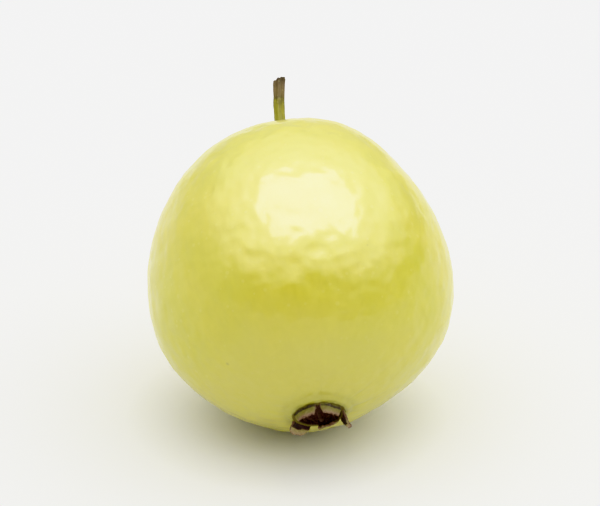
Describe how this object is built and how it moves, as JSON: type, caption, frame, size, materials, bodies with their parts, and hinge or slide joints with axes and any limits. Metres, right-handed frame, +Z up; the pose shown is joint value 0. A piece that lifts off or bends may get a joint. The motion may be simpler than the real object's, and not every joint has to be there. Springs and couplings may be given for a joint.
{
  "type": "guava",
  "caption": "Whole fresh guava, nearly round, with a cut stem at one end and a dry calyx crown at the other, lying on a small flat spot.",
  "frame": {"origin": "middle of the flat spot that the fruit rests on", "axes": "+Z up from the surface it rests on; the stem end leans back towards +Y and up, the calyx crown faces -Y and down"},
  "size_m": [0.0662, 0.0755, 0.0657],
  "materials": {
    "skin": "smooth waxy pale yellow-green skin, semi-gloss",
    "stem": "dull olive bark, brown towards the cut end",
    "calyx_disc": "dull, very dark maroon, dry",
    "style": "dull dark brown, dry",
    "sepal": "dull olive green, brown and dry at the rims"
  },
  "bodies": {
    "root": {"fruit": "skin", "stem": "stem", "calyx_disc": "calyx_disc", "style": "style", "sepal_1": "sepal", "sepal_2": "sepal", "sepal_3": "sepal", "sepal_4": "sepal", "sepal_5": "sepal"}
  },
  "joints": []
}
